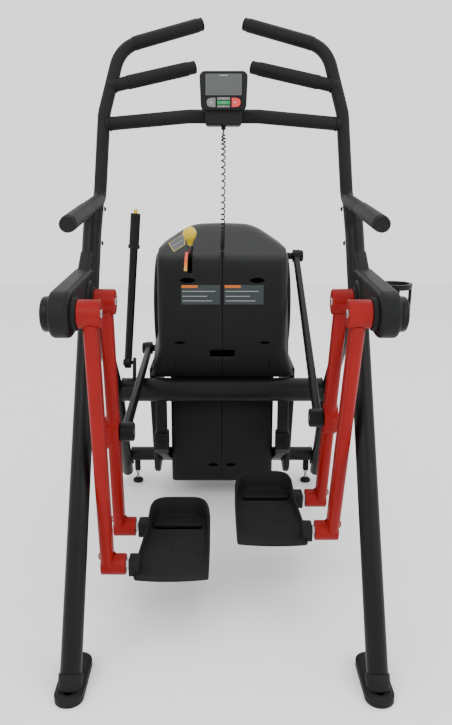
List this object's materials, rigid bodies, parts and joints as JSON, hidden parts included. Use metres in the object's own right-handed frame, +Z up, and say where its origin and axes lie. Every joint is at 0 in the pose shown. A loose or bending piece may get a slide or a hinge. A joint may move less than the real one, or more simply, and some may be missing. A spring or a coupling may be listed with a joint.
{
  "type": "vertical climber machine",
  "caption": "Climbing machine with two linked swing-arm pedals, a crank drive under a cover, an upright handlebar frame and a console.",
  "frame": {"origin": "on the floor, at the middle of the footprint", "axes": "+X is the user's right, +Y is the way the user faces, +Z is up"},
  "size_m": [1.015, 1.617, 1.797],
  "materials": {
    "black_frame": "satin powder coat",
    "black_grip": "fine foam grain",
    "moulded_plastic": "fine spark-eroded grain",
    "red_paint": "satin",
    "black_rubber": "matte",
    "steel": "brushed",
    "yellow_plastic": "semi-gloss",
    "display_grey": "semi-gloss",
    "key_grey": "matte",
    "key_green": "matte",
    "key_red": "matte"
  },
  "bodies": {
    "frame": {"main_cross_tube": "black_frame", "lower_cross_tube": "black_frame", "drive_plate": "black_frame", "drive_belt": "black_rubber", "upper_cover_left": "moulded_plastic", "upper_cover_right": "moulded_plastic", "lower_cover_left": "moulded_plastic", "lower_cover_right": "moulded_plastic", "console_crossbar": "black_grip", "console_housing": "moulded_plastic", "display_lens": "display_grey", "coil_cord": "black_rubber", "cord_gland_upper": "black_rubber", "cord_gland_lower": "black_rubber", "lock_bracket": "black_frame", "cup_holder": "black_frame", "rear_leg_left": "black_frame", "rear_leg_right": "black_frame", "rear_foot_left": "black_rubber", "rear_foot_right": "black_rubber", "hip_bracket_left": "moulded_plastic", "hip_bracket_right": "moulded_plastic", "pivot_cap_left": "black_frame", "pivot_cap_right": "black_frame", "side_frame_left": "black_frame", "side_frame_right": "black_frame", "inner_post_left": "black_frame", "inner_post_right": "black_frame", "side_skirt_left": "moulded_plastic", "side_skirt_right": "moulded_plastic", "handlebar_left": "black_grip", "handlebar_right": "black_grip", "middle_grip_left": "black_grip", "middle_grip_right": "black_grip"},
    "crank": {"crank_axle": "steel", "crank_disc_left": "black_frame", "crank_disc_right": "black_frame", "drive_pulley": "steel"},
    "flywheel": {"flywheel": "steel"},
    "brake_magnet": {"brake_magnet": "steel"},
    "resistance_lever": {"resistance_lever": "steel", "resistance_knob": "yellow_plastic"},
    "lock_lever": {"lock_lever": "black_frame"},
    "lock_button": {"lock_button": "yellow_plastic"},
    "front_arm_left": {"front_arm_left": "red_paint"},
    "rear_arm_left": {"rear_arm_left": "red_paint"},
    "rod_left": {"rod_left": "black_frame"},
    "pedal_left": {"pedal_left": "black_rubber"},
    "leveler_left": {"leveler_left": "steel"},
    "front_arm_right": {"front_arm_right": "red_paint"},
    "rear_arm_right": {"rear_arm_right": "red_paint"},
    "rod_right": {"rod_right": "black_frame"},
    "pedal_right": {"pedal_right": "black_rubber"},
    "leveler_right": {"leveler_right": "steel"},
    "key_mode": {"key_mode": "key_grey"},
    "key_up": {"key_up": "key_grey"},
    "key_start": {"key_start": "key_green"},
    "key_down": {"key_down": "key_grey"},
    "key_stop": {"key_stop": "key_red"}
  },
  "joints": [
    {"name": "crank_turn", "type": "hinge", "parent": "frame", "child": "crank", "pos_m": [-0.0475, 0.5535, 0.82], "axis": [1, 0, 0], "range_deg": [-30, 30]},
    {"name": "front_arm_left_swing", "type": "hinge", "parent": "frame", "child": "front_arm_left", "pos_m": [-0.3885, -0.3155, 0.965], "axis": [1, 0, 0], "range_deg": [-14, 14]},
    {"name": "rear_arm_left_swing", "type": "hinge", "parent": "frame", "child": "rear_arm_left", "pos_m": [-0.3885, -0.569, 0.975], "axis": [1, 0, 0], "range_deg": [-14, 14]},
    {"name": "pedal_left_tilt", "type": "hinge", "parent": "front_arm_left", "child": "pedal_left", "pos_m": [-0.3325, -0.21361, 0.20177], "axis": [1, 0, 0], "range_deg": [-14, 14]},
    {"name": "rod_left_swing", "type": "hinge", "parent": "front_arm_left", "child": "rod_left", "pos_m": [-0.3525, -0.25992, 0.54869], "axis": [1, 0, 0], "range_deg": [-14.1, 14.1]},
    {"name": "front_arm_right_swing", "type": "hinge", "parent": "frame", "child": "front_arm_right", "pos_m": [0.2935, -0.3155, 0.965], "axis": [1, 0, 0], "range_deg": [-11.5, 11.5]},
    {"name": "rear_arm_right_swing", "type": "hinge", "parent": "frame", "child": "rear_arm_right", "pos_m": [0.2935, -0.569, 0.975], "axis": [1, 0, 0], "range_deg": [-11.5, 11.5]},
    {"name": "pedal_right_tilt", "type": "hinge", "parent": "front_arm_right", "child": "pedal_right", "pos_m": [0.2375, -0.06944, 0.23537], "axis": [1, 0, 0], "range_deg": [-11.5, 11.5]},
    {"name": "rod_right_swing", "type": "hinge", "parent": "front_arm_right", "child": "rod_right", "pos_m": [0.2575, -0.18129, 0.56702], "axis": [1, 0, 0], "range_deg": [-12.8, 12.8]},
    {"name": "flywheel_spin", "type": "hinge", "parent": "frame", "child": "flywheel", "pos_m": [-0.0475, 0.6135, 0.35], "axis": [1, 0, 0], "range_deg": [-127, 127]},
    {"name": "resistance_lever_swing", "type": "hinge", "parent": "frame", "child": "resistance_lever", "pos_m": [-0.1665, 0.3835, 0.93], "axis": [1, 0, 0], "range_deg": [-3, 14]},
    {"name": "brake_swing", "type": "hinge", "parent": "frame", "child": "brake_magnet", "pos_m": [-0.0475, 0.4435, 0.43], "axis": [1, 0, 0], "range_deg": [-7.5, 2]},
    {"name": "lock_lever_swing", "type": "hinge", "parent": "frame", "child": "lock_lever", "pos_m": [-0.4085, 0.2835, 0.632], "axis": [1, 0, 0], "range_deg": [0, 18]},
    {"name": "lock_button_press", "type": "slide", "parent": "lock_lever", "child": "lock_button", "axis": [-0.0807, 0, -0.9967], "range_m": [0, 0.005], "stiffness_N_per_m": 300, "springref_m": -0.004},
    {"name": "key_mode_press", "type": "slide", "parent": "frame", "child": "key_mode", "axis": [0, 1, 0], "range_m": [0, 0.0015], "stiffness_N_per_m": 250, "springref_m": -0.001},
    {"name": "key_up_press", "type": "slide", "parent": "frame", "child": "key_up", "axis": [0, 1, 0], "range_m": [0, 0.0015], "stiffness_N_per_m": 250, "springref_m": -0.001},
    {"name": "key_start_press", "type": "slide", "parent": "frame", "child": "key_start", "axis": [0, 1, 0], "range_m": [0, 0.0015], "stiffness_N_per_m": 250, "springref_m": -0.001},
    {"name": "key_down_press", "type": "slide", "parent": "frame", "child": "key_down", "axis": [0, 1, 0], "range_m": [0, 0.0015], "stiffness_N_per_m": 250, "springref_m": -0.001},
    {"name": "key_stop_press", "type": "slide", "parent": "frame", "child": "key_stop", "axis": [0, 1, 0], "range_m": [0, 0.0015], "stiffness_N_per_m": 250, "springref_m": -0.001},
    {"name": "leveler_left_turn", "type": "hinge", "parent": "frame", "child": "leveler_left", "pos_m": [-0.4225, 0.6055, 0], "axis": [0, 0, 1], "continuous": true},
    {"name": "leveler_right_turn", "type": "hinge", "parent": "frame", "child": "leveler_right", "pos_m": [0.3275, 0.6055, 0], "axis": [0, 0, 1], "continuous": true}
  ],
  "couplings": [
    {"joint": "front_arm_left_swing", "follows": "crank_turn", "ratio": 0.447},
    {"joint": "rear_arm_left_swing", "follows": "crank_turn", "ratio": 0.447},
    {"joint": "pedal_left_tilt", "follows": "crank_turn", "ratio": -0.447},
    {"joint": "rod_left_swing", "follows": "crank_turn", "ratio": -0.451},
    {"joint": "front_arm_right_swing", "follows": "crank_turn", "ratio": -0.364},
    {"joint": "rear_arm_right_swing", "follows": "crank_turn", "ratio": -0.364},
    {"joint": "pedal_right_tilt", "follows": "crank_turn", "ratio": 0.364},
    {"joint": "rod_right_swing", "follows": "crank_turn", "ratio": 0.408},
    {"joint": "flywheel_spin", "follows": "crank_turn", "ratio": 4.1},
    {"joint": "brake_swing", "follows": "resistance_lever_swing", "ratio": -0.5}
  ]
}
